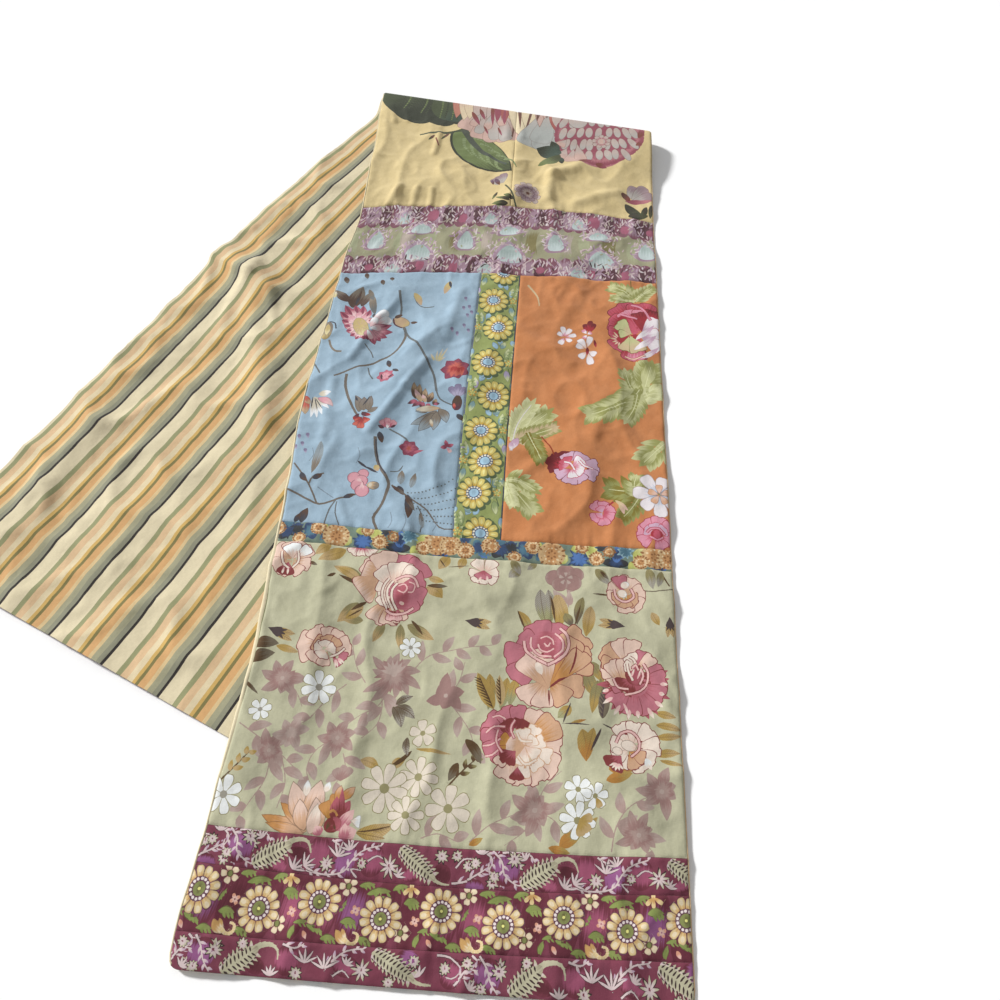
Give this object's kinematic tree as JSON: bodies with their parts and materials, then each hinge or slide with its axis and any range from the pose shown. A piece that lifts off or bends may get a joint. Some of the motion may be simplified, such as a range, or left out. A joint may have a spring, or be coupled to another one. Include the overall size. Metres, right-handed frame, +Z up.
{
  "type": "lined patchwork table runner",
  "caption": "Long lined patchwork table runner in floral cotton prints with a striped lining, lying folded back under itself at an angle so that part of the lining shows.",
  "frame": {"origin": "middle of the footprint, on the surface that the runner lies on", "axes": "+Z up, +Y from the near hem toward the fold, +X across the near half from left to right"},
  "size_m": [0.6719, 1.0288, 0.0203],
  "materials": {
    "striped_lining": "smooth cotton with lengthwise stripes in ivory, sage, peach, tan and olive",
    "yellow_print": "lightly glazed cotton, large garden flowers on warm yellow",
    "mauve_print": "plain cotton, mauve and sage scroll border print",
    "blue_print": "plain cotton, trailing flowering stems on pale blue",
    "green_print": "plain cotton, yellow daisies on olive green",
    "orange_print": "plain cotton, roses and leaves on burnt orange",
    "trim_print": "plain cotton, small navy, tan and lime clusters",
    "sage_print": "plain cotton, roses, daisies and leaves on sage",
    "plum_print": "plain cotton, daisies and paisleys on plum"
  },
  "bodies": {
    "root": {"lining": "striped_lining", "yellow_left": "yellow_print", "yellow_right": "yellow_print", "near_scroll_band": "mauve_print", "near_blue_panel": "blue_print", "near_daisy_strip": "green_print", "near_orange_panel": "orange_print", "near_trim_band": "trim_print", "near_rose_panel": "sage_print", "near_paisley_inner": "plum_print", "near_daisy_band": "plum_print", "near_paisley_edge": "plum_print", "far_scroll_band": "mauve_print", "far_blue_panel": "blue_print", "far_daisy_strip": "green_print", "far_orange_panel": "orange_print", "far_trim_band": "trim_print", "far_rose_panel": "sage_print", "far_paisley_inner": "plum_print", "far_daisy_band": "plum_print", "far_paisley_edge": "plum_print"}
  },
  "joints": []
}
